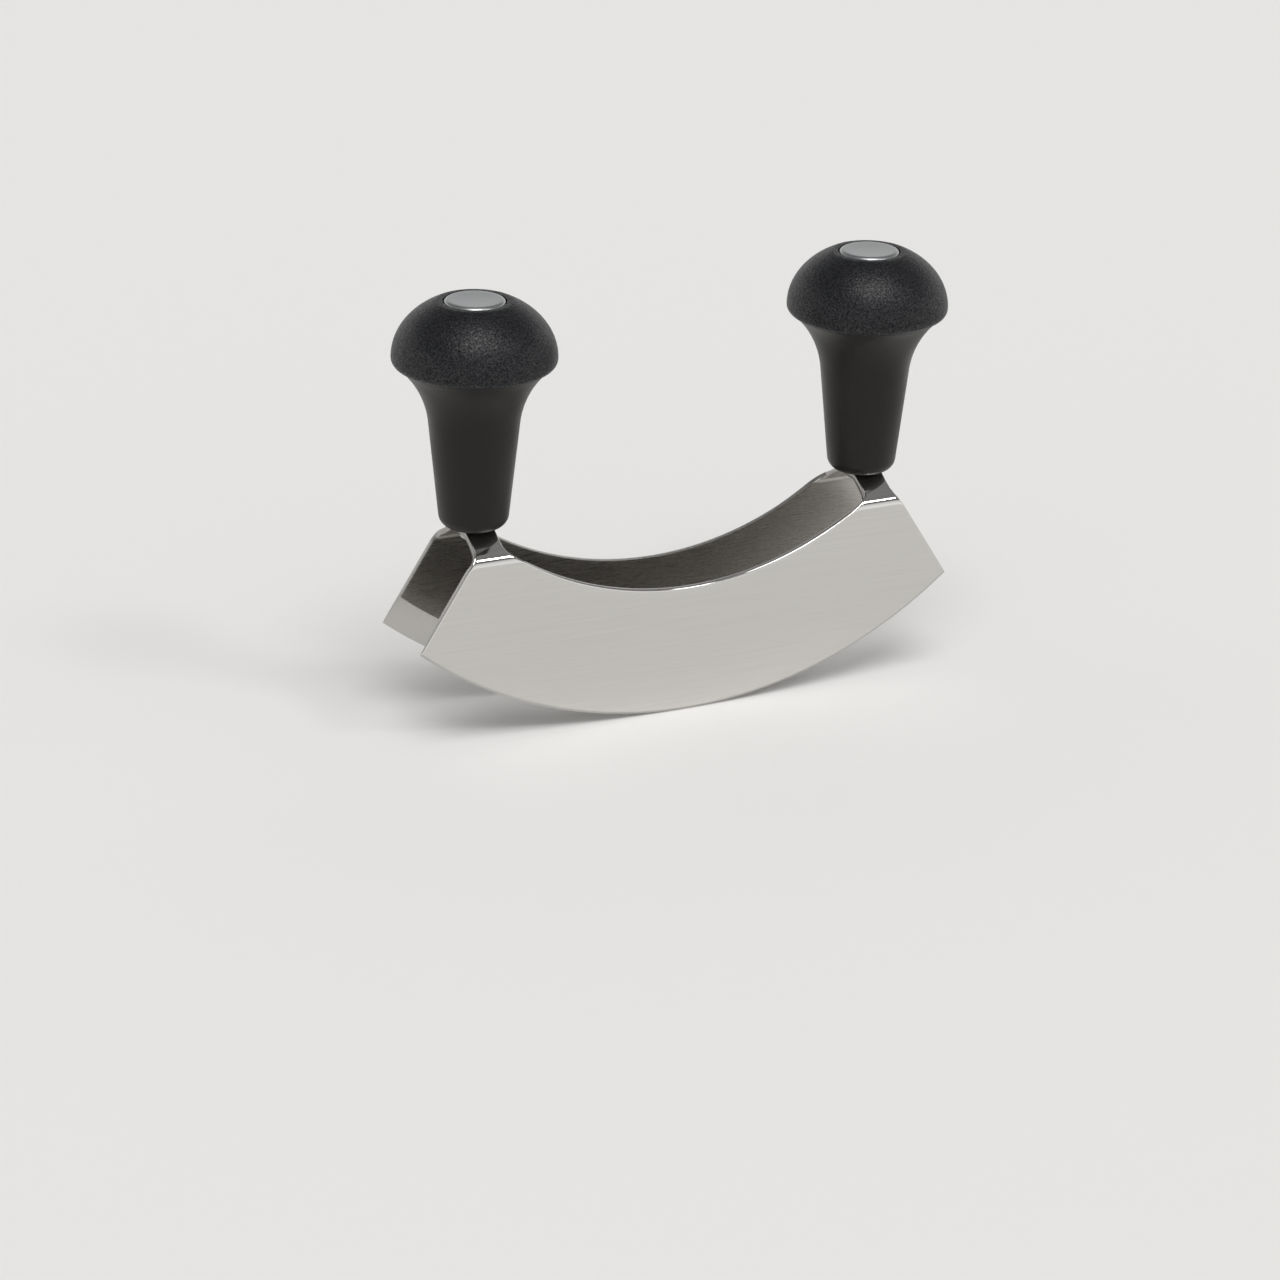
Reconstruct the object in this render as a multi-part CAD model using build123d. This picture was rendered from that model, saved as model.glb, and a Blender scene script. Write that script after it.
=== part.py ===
from build123d import *
import os
from math import atan2, cos, degrees, pi, radians, sin, sqrt, tan

# A mezzaluna with two crescent blades and two knob handles.
# One steel sheet is folded over like a narrow roof: its two sides hang down as parallel crescent
# blades, and a strap at each end joins them. A handle stands on the flat of each strap, held by
# one long bolt from below, whose nut lies in the top of the knob under a metal disc.
# X runs along the blades, Y across them and Z is up. The origin is the point on the floor under
# the middle of the object, at the height of the lowest point of the two cutting edges.

# Folded sheet, seen from the side
blade_chord = 168.0        # tip to tip
edge_radius = 133.5        # convex cutting edge
end_cut = 16.2             # the end slants back by this much from tip to shoulder
bay_depth = 23.1           # from the strap's top down to the lowest point of the concave edge
bay_rise = 19.1            # of the concave edge, from that point up to the strap
tip_round = 0.8
strap_width = 9.0          # of each strap, along X
strap_bay_round = 2.0      # between strap and concave edge
strap_end_round = 4.0      # between strap and slanted end
handle_inset = 22.1        # from the tip to the handle's axis

# Tie bolt, nut and washer of each handle, size M4
bolt_size = 4.0
bolt_length = 60.0         # under the head
bolt_head_height = 1.6     # a low head, out of sight under the strap
hex_across = 7.0           # across the flats of the head and of the nut
bolt_point = 0.5           # chamfer at the end of the bolt
nut_height = 5.0
nut_hex_height = 3.4       # the rest is the round collar of the locking ring
nut_collar_step = 0.4      # from the hexagon's flats in to the collar
washer_size = 12.0
washer_thickness = 1.0
bolt_proud = 0.5           # bolt shown above the nut
bolt_clearance = 0.2       # on the radius, in every plain hole
thread_clearance = 0.05    # on the radius, in the nut

# Folded sheet, seen from the end
sheet = 1.8                # thickness of the steel
blade_spread = 28.0        # over the outer faces of the two blades
strap_height = 60.9        # flat top of the strap, the seat of the handle
shoulder_slope = 31.4      # degrees, between the upright blade and the strap
bend_inside = 1.6          # inside radius of every fold
head_gap = 0.05            # each side of the bolt's head, before the folds begin
cut_round = 0.4            # polishing rounds the outer corner of every cut edge

# Ground edge
grind_height = 9.0         # wide taper on the inner face
grind_land = 0.45          # thickness left where the taper ends
bevel_height = 0.7         # narrow bevel on the outer face
edge_land = 0.1            # thickness left at the edge itself

# Disc in the top of the knob
disc_size = 17.5
disc_clearance = 0.2       # on the radius
disc_thickness = 1.4
disc_sunk = 0.5            # below the rim
disc_round = 0.4
skirt_height = 2.0
skirt_wall = 0.9
skirt_clearance = 0.1      # on the radius

# Knob, heights measured from the crease
knob_size = 46.6
knob_belly = 2.4           # height of the widest ring
knob_dome = 18.3           # from the widest ring up to the top of the full dome
rim_width = 0.65           # flat left on the dome round the disc's recess
knob_wall = 3.2
socket_room = 1.05         # round the washer, for the spanner that turns the nut
boss_wall = 2.85           # of the middle post that carries the washer and nut
spigot_length = 8.0        # the post's end, standing in the bore of the shank
spigot_clearance = 0.15    # on the radius
rib_count = 6
rib_thickness = 1.6

# Shank, heights measured from its foot
bolt_above_crease = 10.7   # end of the bolt over the crease, where the flare meets the knob
crease_size = 42.8
crease_seat = 3.0          # width of the ring on which the knob rests
shank_waist_size = 25.8
flare_height = 16.7        # from the end of the straight taper up to the crease
shank_foot_size = 20.0     # where the rounding of the foot ends
foot_edge = 3.8            # rounding of the foot, inwards
foot_round_height = 3.4
shank_floor = 10.0         # solid plastic above the foot
shank_bore = 12.2

overrun = 4.0              # cutting tools reach past the metal by this much
near_share = 0.001         # of the sheet: how close two points must be to count as one

# Worked out from the sizes above: the folded sheet
face_y = blade_spread / 2
shoulder_lean = radians(shoulder_slope)
strap_flat = hex_across + 2 * (head_gap + (sheet + bend_inside) * tan(shoulder_lean / 2))
shoulder_height = strap_height - (face_y - strap_flat / 2) * tan(shoulder_lean)
tip_x = blade_chord / 2
tip_z = edge_radius - sqrt(edge_radius ** 2 - tip_x ** 2)
shoulder_x = tip_x - end_cut
end_slope = end_cut / (shoulder_height - tip_z)
handle_x = tip_x - handle_inset
strap_outer = handle_x + strap_width / 2
strap_inner = handle_x - strap_width / 2
strap_end_z = shoulder_height + (shoulder_x - strap_outer) / end_slope
bay_floor = strap_height - bay_depth
strap_bay_z = bay_floor + bay_rise
bay_radius = (strap_inner ** 2 + bay_rise ** 2) / (2 * bay_rise)

# Worked out from the sizes above: the handles
bolt_top_z = strap_height - sheet + bolt_length
crease_z = bolt_top_z - bolt_above_crease
crease_height = crease_z - strap_height
shank_waist_height = crease_height - flare_height
foot_size = shank_foot_size - 2 * foot_edge
nut_collar = hex_across - 2 * nut_collar_step
nut_pocket = washer_size + 2 * socket_room
boss_size = nut_pocket + 2 * boss_wall
knob_mouth = crease_size - 2 * crease_seat
knob_rim = disc_size + 2 * (disc_clearance + rim_width)
belly_z = crease_z + knob_belly
rim_z = belly_z + knob_dome * sqrt(1 - (knob_rim / knob_size) ** 2)
nut_z = bolt_top_z - bolt_proud - nut_height
washer_z = nut_z - washer_thickness
disc_z = rim_z - disc_sunk - disc_thickness


def is_corner(vertex, x, z):
    """True for the outline's corner at (x, z) or its mirror image at (-x, z)."""
    near = near_share * sheet
    return abs(abs(vertex.X) - x) < near and abs(vertex.Y - z) < near


def side_outline(tips_rounded):
    """The sheet from the side: a crescent with slanted ends and an upright strap near each end."""
    above = strap_height + overrun
    roundings = [(strap_outer, strap_end_z, strap_end_round), (strap_inner, strap_bay_z, strap_bay_round)]
    if tips_rounded:
        roundings.append((tip_x, tip_z, tip_round))
    with BuildSketch(Plane.XZ) as sketch:
        with BuildLine():
            ThreePointArc((-tip_x, tip_z), (0, 0), (tip_x, tip_z))
            Polyline((tip_x, tip_z), (strap_outer, strap_end_z), (strap_outer, above),
                     (strap_inner, above), (strap_inner, strap_bay_z))
            ThreePointArc((strap_inner, strap_bay_z), (0, bay_floor), (-strap_inner, strap_bay_z))
            Polyline((-strap_inner, strap_bay_z), (-strap_inner, above), (-strap_outer, above),
                     (-strap_outer, strap_end_z), (-tip_x, tip_z))
        make_face()
        for x, z, radius in roundings:
            corners = [v for v in sketch.vertices() if is_corner(v, x, z)]
            fillet(corners, radius=radius)
    return sketch.sketch


def fold_points(inset):
    """Corners of the folded section, moved into the metal by inset."""
    drop = inset * tan((pi / 2 - shoulder_lean) / 2)
    narrow = inset * tan(shoulder_lean / 2)
    y = face_y - inset
    flat = strap_flat / 2 - narrow
    below = -overrun
    return [(-y, below), (-y, shoulder_height - drop), (-flat, strap_height - inset),
            (flat, strap_height - inset), (y, shoulder_height - drop), (y, below)]


def folded_sheet():
    """The bent sheet at its full length, before the side outline is cut."""
    with BuildSketch(Plane.YZ) as sketch:
        with BuildLine():
            outside = FilletPolyline(*fold_points(0), radius=bend_inside + sheet)
            inside = FilletPolyline(*fold_points(sheet), radius=bend_inside)
            Line(outside @ 0, inside @ 0)
            Line(outside @ 1, inside @ 1)
        make_face()
    return extrude(sketch.sketch, amount=tip_x + overrun, both=True)


def skin_depth(point):
    """How deep a point lies under the outer skin of the folded sheet, counting folds as sharp."""
    in_y = face_y - abs(point.Y)
    under_shoulder = in_y * sin(shoulder_lean) + (shoulder_height - point.Z) * cos(shoulder_lean)
    return min(in_y, under_shoulder, strap_height - point.Z)


def cut_corners(body):
    """Edges where the side cuts meet the outer skin: no folds, and not the two cutting edges."""
    chosen = []
    for edge in body.edges():
        on_skin = skin_depth(edge @ 0) < sheet / 2 and skin_depth(edge @ 1) < sheet / 2
        size = edge.bounding_box().size
        is_fold = size.Y < near_share * sheet and size.Z < near_share * sheet
        is_blade = edge.geom_type == GeomType.CIRCLE and edge.radius > (edge_radius + bay_radius) / 2
        if on_skin and not is_fold and not is_blade:
            chosen.append(edge)
    return chosen


def ground_away(corner_y, height, from_y, to_y):
    """Metal ground off along the curved edge: a wedge that thins the blade from from_y to to_y."""
    past_y = to_y + (to_y - from_y) * overrun / height
    with BuildSketch(Plane.YZ) as sketch:
        Polygon((from_y, height), (to_y, 0), (past_y, -overrun), (corner_y, -overrun), align=None)
    return revolve(sketch.sketch, axis=Axis((0, 0, edge_radius), (0, 1, 0)))


def blade_body():
    across = face_y + overrun
    sharp = side_outline(tips_rounded=False)
    body = folded_sheet() & extrude(sharp, amount=across, both=True)
    body = fillet(cut_corners(body), radius=cut_round)
    inner_y = face_y - sheet
    inner_cut = ground_away(inner_y, grind_height, inner_y, face_y - grind_land)
    bevel_y = face_y - grind_land + edge_land
    outer_cut = ground_away(face_y, bevel_height, face_y, bevel_y)
    for cut in (inner_cut, outer_cut):
        body -= cut
        body -= mirror(cut, about=Plane.XZ)
    body -= extrude(sharp - side_outline(tips_rounded=True), amount=across, both=True)
    for x in (-handle_x, handle_x):
        body -= Pos(x, 0, strap_height) * Cylinder(bolt_size / 2 + bolt_clearance, overrun * 2)
    return body


def turned(build_profile):
    """A solid of revolution about Z from a profile drawn on the XZ plane."""
    with BuildSketch(Plane.XZ) as sketch:
        with BuildLine():
            build_profile()
        make_face()
    return revolve(sketch.sketch, axis=Axis.Z)


def drilled(solid, size, bottom, top):
    """The solid with a round hole on its axis from bottom to top."""
    depth = top - bottom
    return solid - Pos(0, 0, bottom) * Cylinder(size / 2, depth, align=(Align.CENTER, Align.CENTER, Align.MIN))


def shank():
    """The lower handle: a tapered stem that flares to the crease, with the spigot's bore on top."""
    foot_z = strap_height
    waist = (shank_waist_size / 2, foot_z + shank_waist_height)
    taper = (shank_waist_size - shank_foot_size) / 2

    def profile():
        Line((0, foot_z), (foot_size / 2, foot_z))
        foot = (shank_foot_size / 2, foot_z + foot_round_height)
        rounding = TangentArc((foot_size / 2, foot_z), foot, tangent=(1, 0))
        Line(rounding @ 1, waist)
        rise = shank_waist_height - foot_round_height
        flare = TangentArc(waist, (crease_size / 2, crease_z), tangent=(taper, rise))
        Polyline(flare @ 1, (0, crease_z), (0, foot_z))

    body = turned(profile)
    body = drilled(body, shank_bore, foot_z + shank_floor, crease_z + overrun)
    return drilled(body, bolt_size + 2 * bolt_clearance, foot_z - overrun, crease_z)


def knob_hollow():
    """The annular space moulded into the underside of the knob, less its ribs."""
    inner = boss_size / 2
    outer = knob_mouth / 2
    width = knob_size / 2 - knob_wall
    height = knob_dome - knob_wall

    def roof(radius):
        return belly_z + height * sqrt(1 - (radius / width) ** 2)

    def profile():
        middle = (inner + outer) / 2
        ThreePointArc((inner, roof(inner)), (middle, roof(middle)), (outer, roof(outer)))
        Polyline((outer, roof(outer)), (outer, crease_z), (inner, crease_z), (inner, roof(inner)))

    hollow = turned(profile)
    tall = roof(inner) - crease_z
    rib = Pos(inner, 0, crease_z) * Box(
        outer - inner + overrun, rib_thickness, tall + overrun, align=(Align.MIN, Align.CENTER, Align.MIN))
    rib = Pos(-overrun / 2, 0, 0) * rib
    for ray in PolarLocations(0, rib_count):
        hollow -= ray * rib
    return hollow


def knob():
    """The mushroom head, hollow from below, with the post that carries the nut."""
    belly = (knob_size / 2, belly_z)
    rim_angle = degrees(atan2(sqrt(1 - (knob_rim / knob_size) ** 2), knob_rim / knob_size))

    def profile():
        under = TangentArc(belly, (crease_size / 2, crease_z), tangent=(0, -1))
        dome = EllipticalCenterArc((0, belly_z), knob_size / 2, knob_dome, start_angle=0, arc_size=rim_angle)
        Polyline(dome @ 1, (0, rim_z), (0, crease_z), under @ 1)

    body = turned(profile) - knob_hollow()
    spigot = shank_bore / 2 - spigot_clearance
    spigot_z = crease_z - spigot_length
    body += Pos(0, 0, spigot_z) * Cylinder(
        spigot, spigot_length, align=(Align.CENTER, Align.CENTER, Align.MIN))
    body = drilled(body, bolt_size + 2 * bolt_clearance, spigot_z - overrun, washer_z)
    body = drilled(body, nut_pocket, washer_z, rim_z + overrun)
    return drilled(body, disc_size + 2 * disc_clearance, disc_z, rim_z + overrun)


def cap_disc():
    """The metal disc with its rounded edge, and the skirt that grips the nut's pocket."""
    low = (Align.CENTER, Align.CENTER, Align.MIN)
    disc = Pos(0, 0, disc_z) * Cylinder(disc_size / 2, disc_thickness, align=low)
    disc = fillet(disc.edges().group_by(Axis.Z)[-1], radius=disc_round)
    skirt = nut_pocket / 2 - skirt_clearance
    disc += Pos(0, 0, disc_z - skirt_height) * Cylinder(skirt, skirt_height, align=low)
    return drilled(disc, 2 * (skirt - skirt_wall), disc_z - skirt_height, disc_z)


def hexagon(height):
    """A hexagonal prism with its two flats square to Y and its lower corners turned off."""
    corner = hex_across / 2 / (sqrt(3) / 2)
    prism = extrude(RegularPolygon(radius=corner, side_count=6), amount=height)
    slack = corner - hex_across / 2

    def profile():
        Polyline((0, 0), (hex_across / 2, 0), (corner, slack), (corner, height), (0, height), (0, 0))

    return prism & turned(profile)


def tie_bolt():
    """The bolt, its hexagonal head under the strap and its end inside the knob."""
    head_top = strap_height - sheet
    low = (Align.CENTER, Align.CENTER, Align.MIN)
    shaft = Cylinder(bolt_size / 2, bolt_length, align=low)
    shaft = chamfer(shaft.edges().group_by(Axis.Z)[-1], length=bolt_point)
    return Pos(0, 0, head_top - bolt_head_height) * hexagon(bolt_head_height) + Pos(0, 0, head_top) * shaft


def lock_nut():
    """The nut, a hexagon below and a round collar for the locking ring above."""
    low = (Align.CENTER, Align.CENTER, Align.MIN)
    nut = hexagon(nut_hex_height) + Cylinder(nut_collar / 2, nut_height, align=low)
    return Pos(0, 0, nut_z) * drilled(nut, bolt_size + 2 * thread_clearance, 0, nut_height)


def washer():
    plate = Cylinder(washer_size / 2, washer_thickness, align=(Align.CENTER, Align.CENTER, Align.MIN))
    return Pos(0, 0, washer_z) * drilled(plate, bolt_size + 2 * bolt_clearance, 0, washer_thickness)


os.makedirs("parts", exist_ok=True)
export_step(blade_body(), "parts/blade_body.step")
handle = {"shank": shank(), "knob": knob(), "cap_disc": cap_disc(),
          "tie_bolt": tie_bolt(), "lock_nut": lock_nut(), "washer": washer()}
for side, x in (("left", -handle_x), ("right", handle_x)):
    for name, solid in handle.items():
        export_step(Pos(x, 0, 0) * solid, f"parts/{name}_{side}.step")
print(f"tip height {tip_z:.2f}, rim height {rim_z:.2f}, washer seat {washer_z:.2f}, disc seat {disc_z:.2f}")
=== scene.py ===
# %% [markdown]
# # A mezzaluna with two blades
# This tool chops herbs by rocking. One sheet of stainless steel is folded like a narrow roof: its
# two sides hang down as crescent blades, and a strap at each end carries an upright handle.
# The lesson rebuilds every part that shows, finishes each one as the real material looks, and
# sets it on a pale floor under soft light.

# %% Load the frame
from math import asin, atan2, cos, degrees, pi, radians, sin, sqrt, tan

import bmesh
import bpy
from mathutils import Matrix, Vector


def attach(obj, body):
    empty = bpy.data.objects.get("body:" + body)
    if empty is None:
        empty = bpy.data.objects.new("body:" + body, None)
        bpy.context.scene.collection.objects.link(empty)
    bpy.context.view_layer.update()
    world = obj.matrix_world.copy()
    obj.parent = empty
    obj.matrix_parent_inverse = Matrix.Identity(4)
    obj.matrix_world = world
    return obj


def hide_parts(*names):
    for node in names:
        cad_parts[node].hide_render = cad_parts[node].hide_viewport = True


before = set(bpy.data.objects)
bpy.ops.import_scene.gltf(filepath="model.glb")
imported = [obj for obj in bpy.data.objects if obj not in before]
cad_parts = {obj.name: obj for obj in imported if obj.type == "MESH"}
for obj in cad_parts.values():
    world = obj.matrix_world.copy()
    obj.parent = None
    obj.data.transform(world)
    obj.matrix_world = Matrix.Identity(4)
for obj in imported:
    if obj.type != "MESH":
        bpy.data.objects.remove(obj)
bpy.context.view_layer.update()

print("nodes in the frame:", sorted(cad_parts))

# %% [markdown]
# ## Small helpers
# All sizes in this lesson are written in millimetres, as a maker would, and Blender works in
# metres, so one factor turns one into the other. A finished mesh becomes an object that rides on
# the tool's only body and takes the place of the plain CAD solid.

# %% Millimetres and finished pieces
MM = 0.001


def finish_piece(name, mesh, replaced, smooth_angle=30):
    """Makes an object of the bmesh, smooth except at corners sharper than the angle."""
    bmesh.ops.recalc_face_normals(mesh, faces=mesh.faces[:])
    for face in mesh.faces:
        face.smooth = True
    for edge in mesh.edges:
        if len(edge.link_faces) == 2 and edge.calc_face_angle(0) > radians(smooth_angle):
            edge.smooth = False
    data = bpy.data.meshes.new(name)
    mesh.to_mesh(data)
    mesh.free()
    piece = bpy.data.objects.new(name, data)
    bpy.context.scene.collection.objects.link(piece)
    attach(piece, "root")
    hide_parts(replaced)
    print(name, "has", len(data.polygons), "faces")
    return piece


# %% [markdown]
# ## The folded sheet, seen from the side
# The cutting edge is one arc and the bay between the handles is another, a little tighter one.
# The end of the sheet slants back from the tip to the shoulder, and the strap rises beside it with
# a small rounding on each side. Every row of the mesh needs to know where the metal starts and
# ends at its height, so these outlines are written as two short functions of the height.

# %% Outline of the sheet
edge_radius = 133.5
tip_x = 84.0
tip_z = edge_radius - sqrt(edge_radius ** 2 - tip_x ** 2)
shoulder_x = 67.8
shoulder_z = 55.1
end_slope = (tip_x - shoulder_x) / (shoulder_z - tip_z)
handle_x = 61.9
strap_width = 9.0
strap_in = handle_x - strap_width / 2
strap_out = handle_x + strap_width / 2
bay_floor = 37.8
bay_rise = 19.1
bay_radius = (strap_in ** 2 + bay_rise ** 2) / (2 * bay_rise)
bay_centre = bay_floor + bay_radius
in_round = 2.0
out_round = 4.0

in_round_x = strap_in - in_round
in_round_z = bay_centre - sqrt((bay_radius - in_round) ** 2 - in_round_x ** 2)
in_round_start = bay_centre - (bay_centre - in_round_z) * bay_radius / (bay_radius - in_round)
end_angle = atan2(end_slope, 1)
corner_z = shoulder_z + (shoulder_x - strap_out) / end_slope
out_round_x = strap_out + out_round
out_round_z = corner_z + out_round * tan(end_angle / 2)
out_round_start = corner_z - out_round * tan(end_angle / 2) * cos(end_angle)


def inner_x(z):
    """Where the metal starts at height z, on the side of the bay."""
    if z >= in_round_z:
        return strap_in
    if z > in_round_start:
        return in_round_x + sqrt(in_round ** 2 - (z - in_round_z) ** 2)
    return sqrt(bay_radius ** 2 - (bay_centre - z) ** 2)


def outer_x(z):
    """Where the metal ends at height z, on the side of the tip."""
    if z >= out_round_z:
        return strap_out
    if z > out_round_start:
        return out_round_x - sqrt(out_round ** 2 - (z - out_round_z) ** 2)
    return tip_x - (z - tip_z) * end_slope


print("strap from", round(strap_in, 2), "to", round(strap_out, 2), "mm")

# %% [markdown]
# ## The folded sheet, seen from the end
# From the floor up the sheet is upright, bends in at the shoulder, slopes up and bends again into
# the flat on which the handle stands. The bends are arcs, so the rows of the strap are stations
# along this section: a few on each arc, a few on the slope, and the flat.

# %% Section of the strap
face_y = 14.0
sheet = 1.8
low_bend = 4.6
high_bend = 3.4
low_bend_steps = 12
high_bend_steps = 6
slope = radians(31.4)
top_z = 60.9
flat_y = 4.505
low_bend_z = shoulder_z - low_bend * tan((pi / 2 - slope) / 2)
low_bend_y = face_y - low_bend
high_bend_y = flat_y - high_bend * tan(slope / 2)
high_bend_z = top_z - high_bend

section = []
for step in range(low_bend_steps + 1):
    turn = (pi / 2 - slope) * step / low_bend_steps
    section.append((low_bend_y + low_bend * cos(turn), low_bend_z + low_bend * sin(turn)))
slope_start = section[-1]
slope_end = (high_bend_y + high_bend * sin(slope), high_bend_z + high_bend * cos(slope))
for share in (0.25, 0.5, 0.75):
    section.append(tuple(a + (b - a) * share for a, b in zip(slope_start, slope_end)))
for step in range(high_bend_steps + 1):
    turn = slope * (1 - step / high_bend_steps)
    section.append((high_bend_y + high_bend * sin(turn), high_bend_z + high_bend * cos(turn)))
section.append((high_bend_y / 2, top_z))
section.append((0, top_z))
print("the strap has", len(section), "rows")

# %% [markdown]
# ## Laying out the steel
# A crescent could be cut with booleans, but a polished face shows every stray triangle in its
# reflections. Instead a plain grid is laid out and its points are moved to their places, so the
# rows run along the cutting edge and the columns run from edge to bay. Rows lie close together
# where the shape changes: at the edge, at the end of the grind and beside the bay. Only a quarter
# is made, and two mirrors complete the outer skin.

# %% A quarter of the outer skin
bay_columns = 48
strap_columns = 10
rows_from_edge = [0, 0.35, 0.7, 1.4, 2.6, 4.6, 6.8, 9.0, 9.3]
rows_from_bay = [3.2, 2.4, 1.7, 1.1, 0.6, 0]
middle_rows = 5


def laid_grid(mesh, columns, rows, place):
    """A flat grid whose points are moved to place(column, row), given in mm."""
    made = bmesh.ops.create_grid(mesh, x_segments=columns, y_segments=rows, size=0.5)["verts"]
    for point in made:
        column = round((point.co.x + 0.5) * columns)
        row = round((point.co.y + 0.5) * rows)
        point.co = Vector(place(column, row)) * MM


def column_ends(column):
    """The point on the cutting edge and the top point of one column, as (x, z)."""
    turn_end = atan2(inner_x(low_bend_z), bay_centre - low_bend_z)
    if column <= bay_columns:
        turn = turn_end * column / bay_columns
        top = (bay_radius * sin(turn), bay_centre - bay_radius * cos(turn))
    else:
        share = (column - bay_columns) / strap_columns
        turn = turn_end + (asin(tip_x / edge_radius) - turn_end) * share
        start = inner_x(low_bend_z)
        top = (start + (outer_x(low_bend_z) - start) * share, low_bend_z)
    return (edge_radius * sin(turn), edge_radius - edge_radius * cos(turn)), top


def wall_place(column, row):
    """The place of one grid point on the upright wall of the blade."""
    (low_x, low_z), (high_x, high_z) = column_ends(column)
    length = sqrt((high_x - low_x) ** 2 + (high_z - low_z) ** 2)
    near_edge, near_bay = len(rows_from_edge), len(rows_from_bay)
    if row < near_edge:
        along = rows_from_edge[row]
    elif row < near_edge + middle_rows:
        start, end = rows_from_edge[-1], length - rows_from_bay[0]
        along = start + (end - start) * (row - near_edge + 1) / (middle_rows + 1)
    else:
        along = length - rows_from_bay[row - near_edge - middle_rows]
    share = along / length
    return (low_x + (high_x - low_x) * share, face_y, low_z + (high_z - low_z) * share)


def strap_place(column, row):
    """The place of one grid point on the strap, where each row is a station of the section."""
    y, z = section[row]
    start, end = inner_x(z), outer_x(z)
    return (start + (end - start) * column / strap_columns, y, z)


skin = bmesh.new()
wall_rows = len(rows_from_edge) + middle_rows + len(rows_from_bay) - 1
laid_grid(skin, bay_columns + strap_columns, wall_rows, wall_place)
laid_grid(skin, strap_columns, len(section) - 1, strap_place)
bmesh.ops.remove_doubles(skin, verts=skin.verts[:], dist=0.002 * MM)
for axis in "XY":
    bmesh.ops.mirror(skin, geom=skin.verts[:] + skin.edges[:] + skin.faces[:],
                     matrix=Matrix.Identity(4), merge_dist=0.01 * MM, axis=axis)
bmesh.ops.remove_doubles(skin, verts=skin.verts[:], dist=0.01 * MM)
bmesh.ops.recalc_face_normals(skin, faces=skin.faces[:])
print("outer skin:", len(skin.faces), "faces,", sum(edge.is_boundary for edge in skin.edges), "open edges")

# %% [markdown]
# ## Thickness and grinding
# Solidify turns the skin into a sheet. The blades are then ground on the inside: over the last
# nine millimetres the metal thins from 1.8 mm to under half a millimetre, and a narrow bevel on
# the outside makes the edge itself. Distance from the cutting edge is all that is needed to
# know how thick the metal is at a point. Along the bay the mop has rolled the outer face off by a
# third of a millimetre, and that band mirrors the far horizon instead of the floor.

# %% Sheet and ground edge
grind = 9.0
grind_land = 0.45
bevel = 0.7
edge_land = 0.1
bevel_depth = grind_land - edge_land
roll_depth = 0.34
roll_width = 3.2
roll_fade = 6.0


def from_edge(place):
    """Distance of a place on a blade from the arc of the cutting edge, in mm."""
    return edge_radius - sqrt((place.x / MM) ** 2 + (edge_radius - place.z / MM) ** 2)


def rolled_off(place):
    """How far the mop has worn the face away near the bay, in mm."""
    to_bay = sqrt((place.x / MM) ** 2 + (bay_centre - place.z / MM) ** 2) - bay_radius
    fade = min(max((low_bend_z - place.z / MM) / roll_fade, 0), 1)
    return roll_depth * max(1 - to_bay / roll_width, 0) ** 2 * fade


flat_top = [face for face in skin.faces if face.calc_center_median().z > (top_z - 0.1) * MM]
if flat_top[0].normal.z < 0:
    bmesh.ops.reverse_faces(skin, faces=skin.faces[:])
bmesh.ops.solidify(skin, geom=skin.faces[:], thickness=sheet * MM)
for point in skin.verts:
    if point.co.z > low_bend_z * MM:
        continue
    side = 1 if point.co.y > 0 else -1
    height = max(from_edge(point.co), 0)
    if abs(point.co.y) < (face_y - sheet / 2) * MM:
        if height < grind:
            depth = grind_land + (sheet - grind_land) * height / grind
            point.co.y = side * (face_y - depth) * MM
    elif height < bevel:
        point.co.y = side * (face_y - bevel_depth * (1 - height / bevel)) * MM
    else:
        point.co.y = side * (face_y - rolled_off(point.co)) * MM
print("sheet:", len(skin.faces), "faces, thinnest edge", edge_land, "mm")

# %% [markdown]
# ## Polished corners
# A polishing mop takes the burr off every cut edge and leaves the outer corner round, which is
# why a bright line runs along the bay and down the slanted ends. The outer corners get a round
# of half a millimetre, the inner ones only a trace. The cutting edge stays sharp. The same cell
# sorts the faces by their finish: buffed outside, ground beside the edge, linished on the cut
# faces and brushed inside.

# %% Rounding the cut edges
outer_corner = 0.5
inner_corner = 0.15
buffed_faces, ground_faces, cut_faces, inner_faces = range(4)
inside_z = 45.0
sharp_zone = 0.05
rim_start = 0.6
margin = 0.01


def is_rim(face):
    """A face of the cut rim looks along the sheet, so it has no part of the skin's direction."""
    middle = face.calc_center_median()
    z = middle.z / MM
    if z <= low_bend_z:
        return abs(face.normal.y) < 0.5
    return abs(face.normal.x) > 0.3


def looks_out(face):
    """Whether a face looks away from a line that runs along the space between the blades."""
    middle = face.calc_center_median()
    return face.normal.dot(middle - Vector((middle.x, 0, inside_z * MM))) > 0


def corner_edges(outer):
    """The edges between the cut rim and one side of the sheet, without the cutting edge."""
    found = []
    for edge in skin.edges:
        if len(edge.link_faces) != 2 or is_rim(edge.link_faces[0]) == is_rim(edge.link_faces[1]):
            continue
        ends = [point.co for point in edge.verts]
        if max(from_edge(end) for end in ends) < sharp_zone:
            continue
        skin_face = [face for face in edge.link_faces if not is_rim(face)][0]
        if looks_out(skin_face) == outer:
            found.append(edge)
    return found


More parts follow.
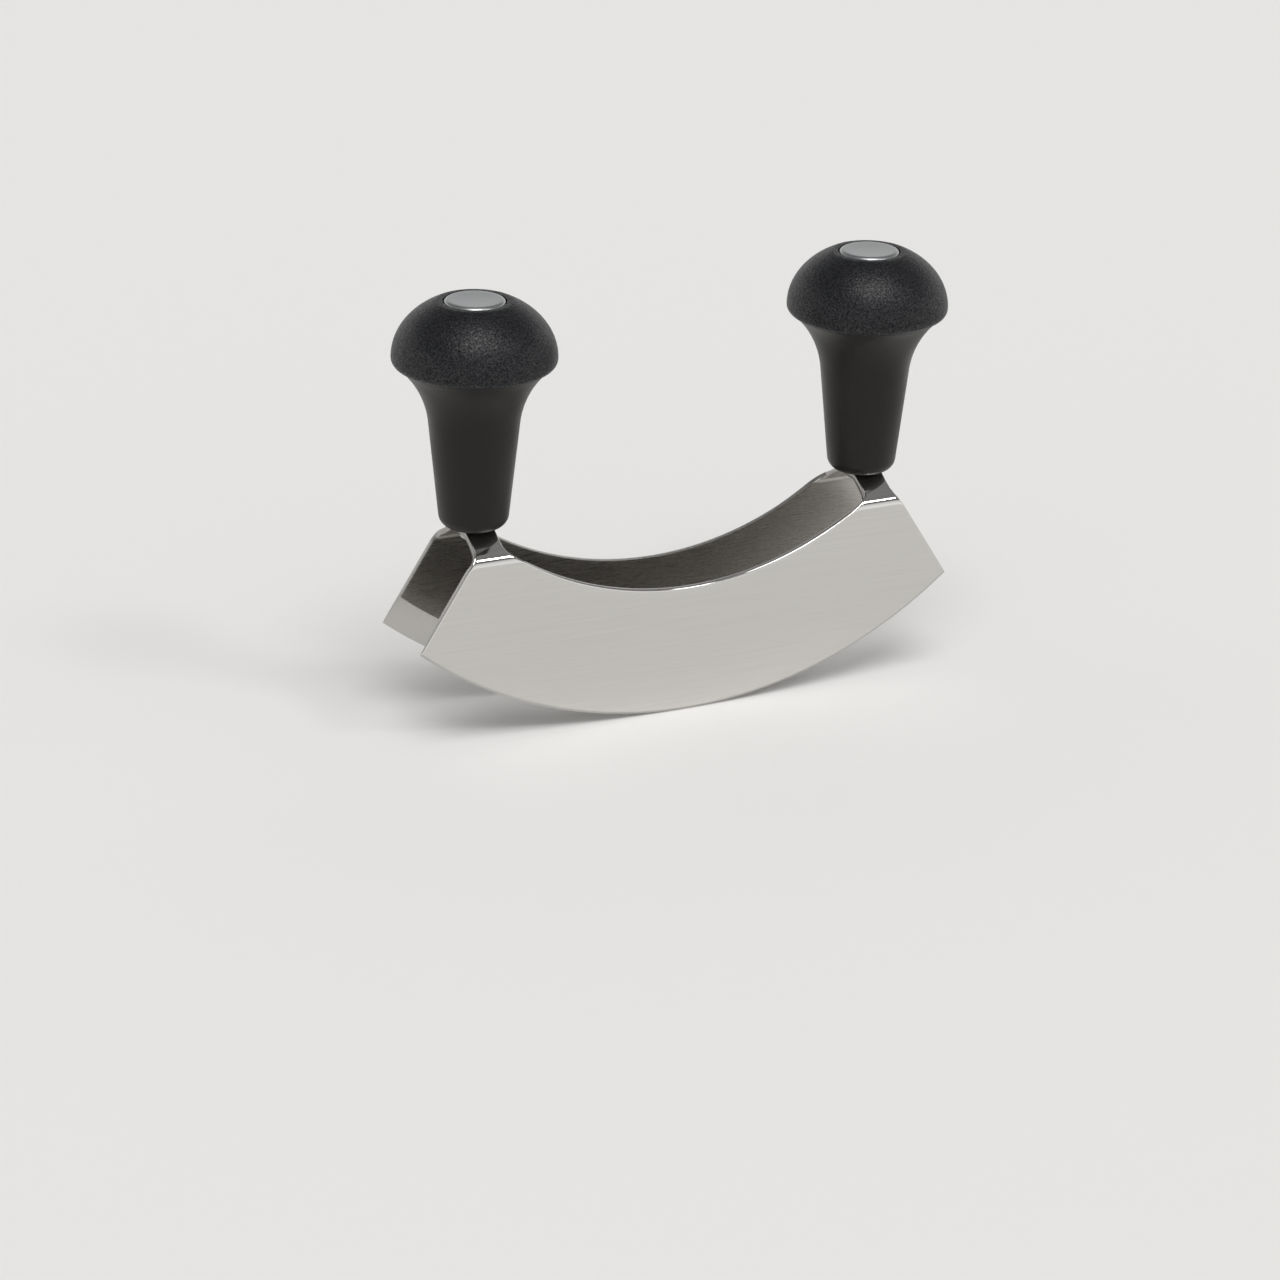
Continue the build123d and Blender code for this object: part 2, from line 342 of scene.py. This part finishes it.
bmesh.ops.recalc_face_normals(skin, faces=skin.faces[:])
for face in skin.faces:
    if is_rim(face) and from_edge(face.calc_center_median()) > rim_start:
        face.material_index = cut_faces
for outer, size, segments in ((True, outer_corner, 4), (False, inner_corner, 2)):
    edges = corner_edges(outer)
    bmesh.ops.bevel(skin, geom=edges, offset=size * MM, offset_type="OFFSET", segments=segments,
                    profile=0.5, affect="EDGES", clamp_overlap=False, material=-1)
    print("outer" if outer else "inner", "corners:", len(edges), "edges rounded by", size, "mm")
for face in skin.faces:
    middle = face.calc_center_median()
    height = from_edge(middle)
    inner = abs(middle.y) < (face_y - bevel_depth - margin) * MM and height < grind - margin
    if middle.z < low_bend_z * MM and (inner or height < bevel) and abs(face.normal.y) > 0.5:
        face.material_index = ground_faces
    elif face.material_index == buffed_faces and not looks_out(face):
        face.material_index = inner_faces
for edge in skin.edges:
    finishes = {face.material_index for face in edge.link_faces}
    if finishes in ({buffed_faces, ground_faces}, {ground_faces, inner_faces}):
        edge.smooth = False
open_edges = sum(len(edge.link_faces) != 2 for edge in skin.edges)
print("folded sheet:", len(skin.faces), "faces,", open_edges, "open edges")
blade = finish_piece("blade_sheet", skin, "blade_body")

# %% [markdown]
# ## Turned shapes
# The handles are round, so each part is a profile spun about its own axis. The profile is a
# row of radius and height pairs. A subdivision surface would round a coarse profile, but it also
# pulls the shape in a little, and a knob that is a percent too thin shows against a white
# background. So the profile itself is fine: arcs are divided into short steps, and a hundred
# steps go round. Each shape comes twice, once on either handle's axis.

# %% Spinning a profile
def spun(profile, axis_x, steps=100):
    """A closed solid of revolution from (radius, height) pairs in mm."""
    mesh = bmesh.new()
    points = [mesh.verts.new((axis_x * MM + radius * MM, 0, height * MM))
              for radius, height in profile]
    edges = [mesh.edges.new(pair) for pair in zip(points, points[1:])]
    bmesh.ops.spin(mesh, geom=points + edges, cent=(axis_x * MM, 0, 0), axis=(0, 0, 1),
                   angle=2 * pi, steps=steps, use_merge=True)
    bmesh.ops.remove_doubles(mesh, verts=mesh.verts[:], dist=0.001 * MM)
    return mesh


def spun_pair(name, finish, node, profile):
    """The spun piece on the left handle's axis and the one on the right handle's."""
    pair = []
    for side, x in (("left", -handle_x), ("right", handle_x)):
        label = name + "_" + side + "_" + finish
        piece = finish_piece(label, spun(profile, x), node + "_" + side, smooth_angle=60)
        pair.append(piece)
    return pair


def arc_points(start, end, heading, steps):
    """Points after start on the arc to end that leaves start at the given heading."""
    across, rise = end[0] - start[0], end[1] - start[1]
    turn = 2 * (atan2(rise, across) - heading)
    radius = sqrt(across ** 2 + rise ** 2) / (2 * sin(turn / 2))
    points = []
    for step in range(1, steps + 1):
        part = turn * step / steps
        reach = 2 * radius * sin(part / 2)
        points.append((start[0] + reach * cos(heading + part / 2),
                       start[1] + reach * sin(heading + part / 2)))
    return points


def round_corner(corner, first, last, steps=3):
    """Points of a small arc in place of a corner, from the point first to the point last."""
    points = []
    for step in range(steps + 1):
        share = step / steps
        points.append(tuple((1 - share) ** 2 * a + 2 * share * (1 - share) * b + share ** 2 * c
                            for a, b, c in zip(first, corner, last)))
    return points


# %% [markdown]
# ## Shanks
# The lower part of the handle is a smooth moulding. Its foot is flat with a rounded edge, it
# widens in a straight taper, and then flares out quickly to meet the knob.

# %% The two shanks
crease_radius = 21.4
crease_z = top_z + 47.5
crease_round = 0.4
joint_ring = 12.0
foot_ring = 3.0
foot_flat = 6.2
foot_top = (10.0, top_z + 3.4)
waist = (12.9, top_z + 30.8)
taper = atan2(waist[1] - foot_top[1], waist[0] - foot_top[0])

shank_profile = [(0, top_z), (foot_ring, top_z), (foot_flat, top_z)]
shank_profile += arc_points((foot_flat, top_z), foot_top, 0, 10)
for share in (0.2, 0.4, 0.6, 0.8, 1.0):
    shank_profile.append(tuple(a + (b - a) * share for a, b in zip(foot_top, waist)))
shank_profile += arc_points(waist, (crease_radius, crease_z), taper, 24)[:-1]
shank_profile += round_corner((crease_radius - 0.05, crease_z), (crease_radius - 0.3, crease_z - 0.25),
                              (crease_radius - crease_round, crease_z))
shank_profile += [(joint_ring, crease_z), (0, crease_z)]
shanks = spun_pair("shank", "moulding", "shank", shank_profile)
print("waist", 2 * waist[0], "mm across, crease", 2 * crease_radius, "mm across")

# %% [markdown]
# ## Knobs
# The mushroom head turns out from the crease to its widest ring, then closes in a flattened
# dome. The dome ends in a narrow flat rim round a recess, where the metal disc lies over the
# pocket of the nut. The disc's top is where the dome of the solid knob ends; the rim lies a
# little lower, so that the disc's edge shows in front.

# %% The two knobs
knob_radius = 23.3
belly_rise = 2.4
belly_z = crease_z + belly_rise
dome = 18.3
rim_radius = 10.8
rim_blend = radians(1.6)
dome_steps = 32
dome_end = 9.6
disc_top = belly_z + dome * sqrt(1 - (dome_end / knob_radius) ** 2)
rim_z = belly_z + dome * sqrt(1 - (rim_radius / knob_radius) ** 2)
recess_radius = 8.95
recess_round = 0.15
recess_depth = 1.9
recess_z = disc_top - recess_depth
pocket_radius = 7.05
bolt_length, bolt_overhang, nut_height, washer_height = 60.0, 0.5, 5.0, 1.0
washer_seat_z = top_z - sheet + bolt_length - bolt_overhang - nut_height - washer_height

under = arc_points((knob_radius, belly_z), (crease_radius, crease_z), -pi / 2, 10)[:-1]
knob_profile = [(0, crease_z), (joint_ring, crease_z)]
knob_profile += round_corner((crease_radius, crease_z), (crease_radius - crease_round, crease_z), under[-1])
knob_profile += under[-2::-1]
rim_turn = atan2(sqrt(knob_radius ** 2 - rim_radius ** 2), rim_radius)
for step in range(dome_steps + 1):
    turn = (rim_turn - rim_blend) * step / dome_steps
    knob_profile.append((knob_radius * cos(turn), belly_z + dome * sin(turn)))
knob_profile += round_corner((rim_radius, rim_z), knob_profile[-1], (rim_radius - 0.6, rim_z), 4)[1:]
knob_profile += round_corner((recess_radius, rim_z), (recess_radius + recess_round, rim_z),
                             (recess_radius, rim_z - recess_round))
knob_profile += [(recess_radius, recess_z), (pocket_radius, recess_z)]
knob_profile += [(pocket_radius, washer_seat_z), (0, washer_seat_z)]
knobs = spun_pair("knob", "moulding", "knob", knob_profile)
print("rim height", round(rim_z, 2), "mm, widest ring at", round(belly_z, 2), "mm")

# %% [markdown]
# ## Discs
# The silver disc is a turned blank with a trace of a dish in its middle and a well-rounded edge,
# which dips into the recess. A dark gap runs round it, and in front the rounded edge turns far
# enough towards the light to shine as a bright crescent.

# %% The two discs
disc_radius = 8.75
dish = [(0, 0.12), (3.0, 0.1), (5.5, 0.04), (7.0, 0.0)]
edge_round = 1.25
edge_steps = 14
skirt_out, skirt_in, skirt_depth = 7.0, 6.0, 2.0

disc_profile = [(radius, disc_top - sunk) for radius, sunk in dish]
for step in range(edge_steps + 1):
    turn = pi / 2 * step / edge_steps
    disc_profile.append((disc_radius - edge_round + edge_round * sin(turn),
                         disc_top - edge_round + edge_round * cos(turn)))
disc_profile += [(disc_radius, recess_z), (skirt_out, recess_z), (skirt_out, recess_z - skirt_depth)]
disc_profile += [(skirt_in, recess_z - skirt_depth), (skirt_in, recess_z), (0, recess_z)]
discs = spun_pair("disc", "turned", "cap_disc", disc_profile)
print("disc", 2 * disc_radius, "mm across, top at", round(disc_top, 2), "mm")

# %% [markdown]
# ## Materials
# Colours are written as hex values, as a paint chart gives them, and one function turns them into
# the linear values that Blender mixes. Another adds a node with its settings and links.

# %% Colour and node helpers
def linear(hex_colour):
    """A colour written as hex, in the linear values of a shader's sockets."""
    channels = [int(hex_colour[place:place + 2], 16) / 255 for place in (1, 3, 5)]
    return [c / 12.92 if c <= 0.04045 else ((c + 0.055) / 1.055) ** 2.4 for c in channels] + [1.0]


def add_node(owner, kind, inputs=None, **settings):
    """Adds a node to a material or world; inputs gives its sockets values or links."""
    node = owner.node_tree.nodes.new(kind)
    for name, value in settings.items():
        setattr(node, name, value)
    for socket, value in (inputs or {}).items():
        if isinstance(value, bpy.types.NodeSocket):
            owner.node_tree.links.new(value, node.inputs[socket])
        else:
            node.inputs[socket].default_value = value
    return node


def new_material(name, base, metallic, roughness):
    """A material with its Principled shader and its output, and the shader to build on."""
    material = bpy.data.materials.new(name)
    material.use_nodes = True
    material.node_tree.nodes.clear()
    shader = add_node(material, "ShaderNodeBsdfPrincipled", {
        "Base Color": linear(base), "Metallic": metallic, "Roughness": roughness})
    add_node(material, "ShaderNodeOutputMaterial", {"Surface": shader.outputs["BSDF"]})
    return material, shader


def link(material, source, target):
    """Joins an output socket to an input socket."""
    material.node_tree.links.new(source, target)


# %% [markdown]
# ## Polished stainless steel
# Rolled 18/10 stainless sheet, buffed to a mirror after folding. A real buffed face is never
# quite flat: it swells a few micrometres every couple of centimetres, which bends reflections,
# and fine lines from the mop run along the blade.

# %% Polished stainless steel
polished, shader = new_material("Buffed stainless steel", "#d3d1ce", 1.0, 0.06)
place = add_node(polished, "ShaderNodeTexCoord").outputs["Object"]
swell = add_node(polished, "ShaderNodeTexNoise", {"Vector": place, "Scale": 45.0, "Detail": 1.0})
along = add_node(polished, "ShaderNodeMapping", {"Vector": place, "Scale": (40.0, 900.0, 4000.0)})
lines = add_node(polished, "ShaderNodeTexNoise", {
    "Vector": along.outputs["Vector"], "Scale": 1.0, "Detail": 3.0})
swell_bump = add_node(polished, "ShaderNodeBump", {
    "Height": swell.outputs["Fac"], "Strength": 0.25, "Distance": 0.0002})
line_bump = add_node(polished, "ShaderNodeBump", {
    "Height": lines.outputs["Fac"], "Normal": swell_bump.outputs["Normal"],
    "Strength": 0.03, "Distance": 0.00005})
link(polished, line_bump.outputs["Normal"], shader.inputs["Normal"])
smudge = add_node(polished, "ShaderNodeTexNoise", {"Vector": place, "Scale": 90.0, "Detail": 4.0})
haze = add_node(polished, "ShaderNodeMapRange", {
    "Value": smudge.outputs["Fac"], "From Min": 0.35, "From Max": 0.75, "To Min": 0.04, "To Max": 0.11})
link(polished, haze.outputs["Result"], shader.inputs["Roughness"])
streak = add_node(polished, "ShaderNodeMix", {
    "Factor": lines.outputs["Fac"], "A": linear("#cbc9c6"), "B": linear("#dbd9d6")}, data_type="RGBA")
link(polished, streak.outputs["Result"], shader.inputs["Base Color"])
blade.data.materials.append(polished)
print("material:", polished.name)

# %% [markdown]
# ## Ground steel
# The inner taper is cut by a grinding wheel that leaves fine marks straight across the edge.
# The marks follow the arc of the blade, so the pattern is read as an angle about the arc's
# centre: one mark every quarter of a millimetre along the edge.

# %% Ground steel on the taper
mark_width = 0.25
ground, shader = new_material("Ground stainless steel", "#bcbab7", 1.0, 0.22)
place = add_node(ground, "ShaderNodeTexCoord").outputs["Object"]
parts = add_node(ground, "ShaderNodeSeparateXYZ", {"Vector": place})
depth = add_node(ground, "ShaderNodeMath", {0: edge_radius * MM, 1: parts.outputs["Z"]},
                 operation="SUBTRACT")
angle = add_node(ground, "ShaderNodeMath", {0: parts.outputs["X"], 1: depth.outputs["Value"]},
                 operation="ARCTAN2")
marks_along = add_node(ground, "ShaderNodeMath", {0: angle.outputs["Value"], 1: edge_radius / mark_width},
                       operation="MULTIPLY")
marks = add_node(ground, "ShaderNodeTexNoise", {
    "W": marks_along.outputs["Value"], "Scale": 1.0, "Detail": 4.0}, noise_dimensions="1D")
mark_bump = add_node(ground, "ShaderNodeBump", {
    "Height": marks.outputs["Fac"], "Strength": 0.35, "Distance": 0.00003})
link(ground, mark_bump.outputs["Normal"], shader.inputs["Normal"])
mark_haze = add_node(ground, "ShaderNodeMapRange", {
    "Value": marks.outputs["Fac"], "From Min": 0.3, "From Max": 0.7, "To Min": 0.14, "To Max": 0.28})
link(ground, mark_haze.outputs["Result"], shader.inputs["Roughness"])
blade.data.materials.append(ground)
print("ground faces:", sum(face.material_index == ground_faces for face in blade.data.polygons))

# %% [markdown]
# ## Cut faces
# The sheet was blanked in a press, and its cut faces were only linished with a belt. They are
# flatter and greyer than the buffed skin, with belt lines through the thickness of the sheet.

# %% Linished cut faces
linished, shader = new_material("Linished stainless steel", "#a3a19e", 1.0, 0.3)
place = add_node(linished, "ShaderNodeTexCoord").outputs["Object"]
belt = add_node(linished, "ShaderNodeMapping", {"Vector": place, "Scale": (3000.0, 300.0, 3000.0)})
belt_lines = add_node(linished, "ShaderNodeTexNoise", {
    "Vector": belt.outputs["Vector"], "Scale": 1.0, "Detail": 3.0})
belt_bump = add_node(linished, "ShaderNodeBump", {
    "Height": belt_lines.outputs["Fac"], "Strength": 0.3, "Distance": 0.00003})
link(linished, belt_bump.outputs["Normal"], shader.inputs["Normal"])
belt_haze = add_node(linished, "ShaderNodeMapRange", {
    "Value": belt_lines.outputs["Fac"], "From Min": 0.3, "From Max": 0.7, "To Min": 0.24, "To Max": 0.38})
link(linished, belt_haze.outputs["Result"], shader.inputs["Roughness"])
blade.data.materials.append(linished)
print("cut faces:", sum(face.material_index == cut_faces for face in blade.data.polygons))

# %% [markdown]
# ## Inner faces
# A mop can't reach into the fold, so the inside keeps the brushed finish that the sheet was bought
# with: straight lines along the blade, much less sharp than the mirror. Its colour is also a
# little darker than the buffed steel; that darkness is painted shade between the blades.

# %% Brushed inner faces
# The darker base colour is painted shade for the space between the blades; the roughness and lines are the
# brushed finish.
brushed, shader = new_material("Brushed stainless steel", "#b3b0ac", 1.0, 0.28)
place = add_node(brushed, "ShaderNodeTexCoord").outputs["Object"]
brush = add_node(brushed, "ShaderNodeMapping", {"Vector": place, "Scale": (90.0, 5000.0, 5000.0)})
brush_lines = add_node(brushed, "ShaderNodeTexNoise", {
    "Vector": brush.outputs["Vector"], "Scale": 1.0, "Detail": 4.0})
brush_bump = add_node(brushed, "ShaderNodeBump", {
    "Height": brush_lines.outputs["Fac"], "Strength": 0.12, "Distance": 0.00002})
link(brushed, brush_bump.outputs["Normal"], shader.inputs["Normal"])
brush_haze = add_node(brushed, "ShaderNodeMapRange", {
    "Value": brush_lines.outputs["Fac"], "From Min": 0.3, "From Max": 0.7, "To Min": 0.2, "To Max": 0.34})
link(brushed, brush_haze.outputs["Result"], shader.inputs["Roughness"])
blade.data.materials.append(brushed)
print("inner faces:", sum(face.material_index == inner_faces for face in blade.data.polygons))

# %% [markdown]
# ## Black mouldings
# The knob and the shank are moulded in the same black polypropylene, but in different moulds.
# The knob's mould is spark-eroded, which gives a fine pebbled grain that feels soft in the palm.
# Each pit of the grain throws the light elsewhere, so the sheen on the knob is broken up into
# specks. Pale specks are painted into the colour near the crease and round the widest ring. The
# shank's mould is polished, so the shank has a low, even sheen.

# %% Grained knob plastic
grained, shader = new_material("Spark-eroded black polypropylene", "#0c0d10", 0.0, 0.42)
place = add_node(grained, "ShaderNodeTexCoord").outputs["Object"]
pebbles = add_node(grained, "ShaderNodeTexVoronoi", {
    "Vector": place, "Scale": 1 / (0.8 * MM), "Smoothness": 0.3}, feature="SMOOTH_F1")
dust = add_node(grained, "ShaderNodeTexNoise", {"Vector": place, "Scale": 1 / (0.8 * MM), "Detail": 3.0})
grain = add_node(grained, "ShaderNodeMath", {0: pebbles.outputs["Distance"], 1: dust.outputs["Fac"]},
                 operation="ADD")
grain_bump = add_node(grained, "ShaderNodeBump", {
    "Height": grain.outputs["Value"], "Strength": 0.45, "Distance": 0.00014})
link(grained, grain_bump.outputs["Normal"], shader.inputs["Normal"])
tint = add_node(grained, "ShaderNodeMix", {
    "Factor": dust.outputs["Fac"], "A": linear("#060709"), "B": linear("#121318")}, data_type="RGBA")
height = add_node(grained, "ShaderNodeSeparateXYZ", {"Vector": place}).outputs["Z"]
# Pale specks are painted into the base colour by height: strongest at the crease, fading out 4.5 mm above it.
near_ring = add_node(grained, "ShaderNodeMapRange", {
    "Value": height, "From Min": (crease_z + 4.5) * MM, "From Max": (crease_z + 1.0) * MM,
    "To Min": 0.0, "To Max": 0.16})
specks = add_node(grained, "ShaderNodeTexNoise", {"Vector": place, "Scale": 1 / (1.3 * MM), "Detail": 4.0})
pale_specks = add_node(grained, "ShaderNodeMapRange", {
    "Value": specks.outputs["Fac"], "From Min": 0.6, "From Max": 0.68, "To Min": 0.0,
    "To Max": near_ring.outputs["Result"]})
specked_colour = add_node(grained, "ShaderNodeMix", {
    "Factor": pale_specks.outputs["Result"], "A": tint.outputs["Result"],
    "B": linear("#8a8784")}, data_type="RGBA")
link(grained, specked_colour.outputs["Result"], shader.inputs["Base Color"])
sheen = add_node(grained, "ShaderNodeMapRange", {
    "Value": grain.outputs["Value"], "From Min": 0.4, "From Max": 1.1, "To Min": 0.34, "To Max": 0.48})
link(grained, sheen.outputs["Result"], shader.inputs["Roughness"])
sparkle = add_node(grained, "ShaderNodeTexNoise", {"Vector": place, "Scale": 1 / (0.48 * MM), "Detail": 2.0})
glint = add_node(grained, "ShaderNodeMapRange", {
    "Value": sparkle.outputs["Fac"], "From Min": 0.36, "From Max": 0.66, "To Min": 0.13, "To Max": 0.6})
link(grained, glint.outputs["Result"], shader.inputs["Specular IOR Level"])
for knob in knobs:
    knob.data.materials.append(grained)
print("material:", grained.name)

# %% Smooth shank plastic
# The slight brown in this black is a painted reflection of warm wood, not the plastic's own colour.
smooth_black, shader = new_material("Smooth black polypropylene", "#13100d", 0.0, 0.34)
shader.inputs["Specular IOR Level"].default_value = 0.3
place = add_node(smooth_black, "ShaderNodeTexCoord").outputs["Object"]
ripple = add_node(smooth_black, "ShaderNodeTexNoise", {
    "Vector": place, "Scale": 1 / (0.4 * MM), "Detail": 2.0})
ripple_bump = add_node(smooth_black, "ShaderNodeBump", {
    "Height": ripple.outputs["Fac"], "Strength": 0.3, "Distance": 0.00008})
link(smooth_black, ripple_bump.outputs["Normal"], shader.inputs["Normal"])
touch = add_node(smooth_black, "ShaderNodeTexNoise", {"Vector": place, "Scale": 1 / (14 * MM), "Detail": 3.0})
touch_haze = add_node(smooth_black, "ShaderNodeMapRange", {
    "Value": touch.outputs["Fac"], "From Min": 0.35, "From Max": 0.7, "To Min": 0.34, "To Max": 0.46})
link(smooth_black, touch_haze.outputs["Result"], shader.inputs["Roughness"])
for shank in shanks:
    shank.data.materials.append(smooth_black)
print("material:", smooth_black.name)

# %% [markdown]
# ## Satin disc metal
# The disc is turned aluminium. The lathe leaves fine rings round its middle, which is what makes
# the sheen satin. Each disc has its own middle, so the distance from the nearer handle axis is
# taken, with the sign of X folded away first.

# %% Turned aluminium
ring_width = 0.2
turned, shader = new_material("Turned aluminium", "#a3a4a5", 1.0, 0.34)
place = add_node(turned, "ShaderNodeTexCoord").outputs["Object"]
parts = add_node(turned, "ShaderNodeSeparateXYZ", {"Vector": place})
folded = add_node(turned, "ShaderNodeMath", {0: parts.outputs["X"]}, operation="ABSOLUTE")
across = add_node(turned, "ShaderNodeMath", {0: folded.outputs["Value"], 1: handle_x * MM},
                  operation="SUBTRACT")
flat = add_node(turned, "ShaderNodeCombineXYZ", {"X": across.outputs["Value"], "Y": parts.outputs["Y"]})
radius = add_node(turned, "ShaderNodeVectorMath", {0: flat.outputs["Vector"]}, operation="LENGTH")
rings_along = add_node(turned, "ShaderNodeMath", {0: radius.outputs["Value"], 1: 1 / (ring_width * MM)},
                       operation="MULTIPLY")
rings = add_node(turned, "ShaderNodeTexNoise", {
    "W": rings_along.outputs["Value"], "Scale": 1.0, "Detail": 2.0}, noise_dimensions="1D")
ring_bump = add_node(turned, "ShaderNodeBump", {
    "Height": rings.outputs["Fac"], "Strength": 0.25, "Distance": 0.00003})
link(turned, ring_bump.outputs["Normal"], shader.inputs["Normal"])
for disc in discs:
    disc.data.materials.append(turned)
print("material:", turned.name)

# %% [markdown]
# ## Zinc-plated steel
# The bolts, nuts and washers are standard hardware with a bright zinc coat. Only the heads of the
# bolts show, from below. Their solids are right as they are, so the frame's own objects stay and
# only get this finish, a slightly uneven, spangled grey.

# %% Zinc on the hardware
zinc, shader = new_material("Bright zinc-plated steel", "#b9bcc0", 1.0, 0.3)
place = add_node(zinc, "ShaderNodeTexCoord").outputs["Object"]
spangle = add_node(zinc, "ShaderNodeTexVoronoi", {"Vector": place, "Scale": 1 / (0.8 * MM)})
spangle_haze = add_node(zinc, "ShaderNodeMapRange", {
    "Value": spangle.outputs["Distance"], "From Min": 0.0, "From Max": 0.8, "To Min": 0.24, "To Max": 0.4})
link(zinc, spangle_haze.outputs["Result"], shader.inputs["Roughness"])
patina = add_node(zinc, "ShaderNodeTexNoise", {"Vector": place, "Scale": 1 / (2.5 * MM), "Detail": 3.0})
patina_tint = add_node(zinc, "ShaderNodeMix", {
    "Factor": patina.outputs["Fac"], "A": linear("#a8abb0"), "B": linear("#c8c9c6")}, data_type="RGBA")
link(zinc, patina_tint.outputs["Result"], shader.inputs["Base Color"])
for name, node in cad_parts.items():
    if name.startswith(("tie_bolt", "lock_nut", "washer")):
        node.data.materials.clear()
        node.data.materials.append(zinc)
print("material:", zinc.name)

# %% [markdown]
# ## Camera
# The camera stands where the photograph was taken: to the left of the tool and about 22 degrees
# above it, a good metre away with a long lens. It leans by less than two degrees, which stands for
# the way the tool was rocked on its edges that day.

# %% Camera at the photograph's angle
azimuth, pitch, roll = radians(-26.19), radians(22.0), radians(1.21)
forward = Vector((-sin(azimuth) * cos(pitch), cos(azimuth) * cos(pitch), -sin(pitch)))
level = Vector((cos(azimuth), sin(azimuth), 0))
above = level.cross(forward)
right = level * cos(roll) + above * sin(roll)
up = above * cos(roll) - level * sin(roll)
camera_data = bpy.data.cameras.new("camera")
camera_data.lens = 125.94
camera_data.sensor_width = 36.0
camera = bpy.data.objects.new("camera", camera_data)
camera_place = Vector((-540.4, -1080.6, 504.1)) * MM
facing = Matrix((right, up, -forward)).transposed().to_4x4()
camera.matrix_world = Matrix.Translation(camera_place) @ facing
bpy.context.scene.collection.objects.link(camera)
bpy.context.scene.camera = camera
print("camera", round(camera_place.length, 3), "m from the tool")

# %% [markdown]
# ## Floor and surroundings
# A mirror shows whatever stands round it, so polished steel needs surroundings with some shape.
# The floor is a plain pale sheet. The world is a white wall all round, with a narrow dark band
# above it and a dim ceiling: the sloping steel then turns grey, each fold gets a dark line, and
# the black plastic stays black, where an evenly white world would lay a veil over all of it.

# %% Pale floor
floor_drop = 0.1
floor_mesh = bmesh.new()
bmesh.ops.create_grid(floor_mesh, x_segments=1, y_segments=1, size=6.0)
floor_data = bpy.data.meshes.new("floor")
floor_mesh.to_mesh(floor_data)
floor_mesh.free()
floor = bpy.data.objects.new("floor", floor_data)
floor.location.z = -floor_drop * MM
bpy.context.scene.collection.objects.link(floor)
pale, shader = new_material("Pale matt paper", "#efeeec", 0.0, 0.9)
floor.data.materials.append(pale)
print("floor:", [round(size, 1) for size in floor.dimensions], "m")

# %% World, white at the horizon and darker overhead
# Each pair is the sine of the height above the horizon and the strength there. The narrow dark
# band stands for the black cards that give a fold in polished metal its dark line.
strengths = [(0.0, 1.1), (0.25, 1.0), (0.42, 0.7), (0.5, 0.14),
             (0.56, 0.14), (0.64, 0.4), (0.8, 0.22), (1.0, 0.28)]
world = bpy.data.worlds.new("studio")
bpy.context.scene.world = world
world.use_nodes = True
world.node_tree.nodes.clear()
direction = add_node(world, "ShaderNodeTexCoord").outputs["Generated"]
height = add_node(world, "ShaderNodeSeparateXYZ", {"Vector": direction}).outputs["Z"]
fall = add_node(world, "ShaderNodeValToRGB", {"Fac": height})
stops = fall.color_ramp.elements
stops[0].position, stops[0].color = strengths[0][0], [strengths[0][1]] * 3 + [1]
stops[1].position, stops[1].color = strengths[-1][0], [strengths[-1][1]] * 3 + [1]
for place, strength in strengths[1:-1]:
    stops.new(place).color = [strength] * 3 + [1]
surroundings = add_node(world, "ShaderNodeBackground", {"Color": fall.outputs["Color"], "Strength": 1.0})
add_node(world, "ShaderNodeOutputWorld", {"Surface": surroundings.outputs["Background"]})
print("world strengths:", [round(stop.color[0], 2) for stop in stops])

# %% [markdown]
# ## Lamps
# One broad soft light stands high in front, on the camera's side. A sun lamp with a wide angle
# does the work of a large softbox far away: it lights the floor evenly to its far edge, which a
# near lamp can't do, and its shadows are just as soft. A second, small and weak one on the right
# draws the bright line along each fold. Together with the world they add up to a level at which a
# colour renders about as it is written.

# %% Two suns as softboxes
def softbox(name, towards, energy, wide):
    """A sun in the direction given from the tool, as wide in degrees as the softbox looks."""
    lamp_data = bpy.data.lights.new(name, "SUN")
    lamp_data.energy = energy
    lamp_data.angle = radians(wide)
    lamp = bpy.data.objects.new(name, lamp_data)
    lamp.rotation_euler = (-Vector(towards)).to_track_quat("-Z", "Y").to_euler()
    bpy.context.scene.collection.objects.link(lamp)
    height = degrees(asin(Vector(towards).normalized().z))
    print(name, "light", round(height), "degrees above the floor")


softbox("key", (-0.12, -0.42, 0.9), 1.65, 36)
softbox("fold", (0.41, -0.6, 0.69), 0.25, 9)

bpy.context.scene.view_settings.view_transform = "Standard"
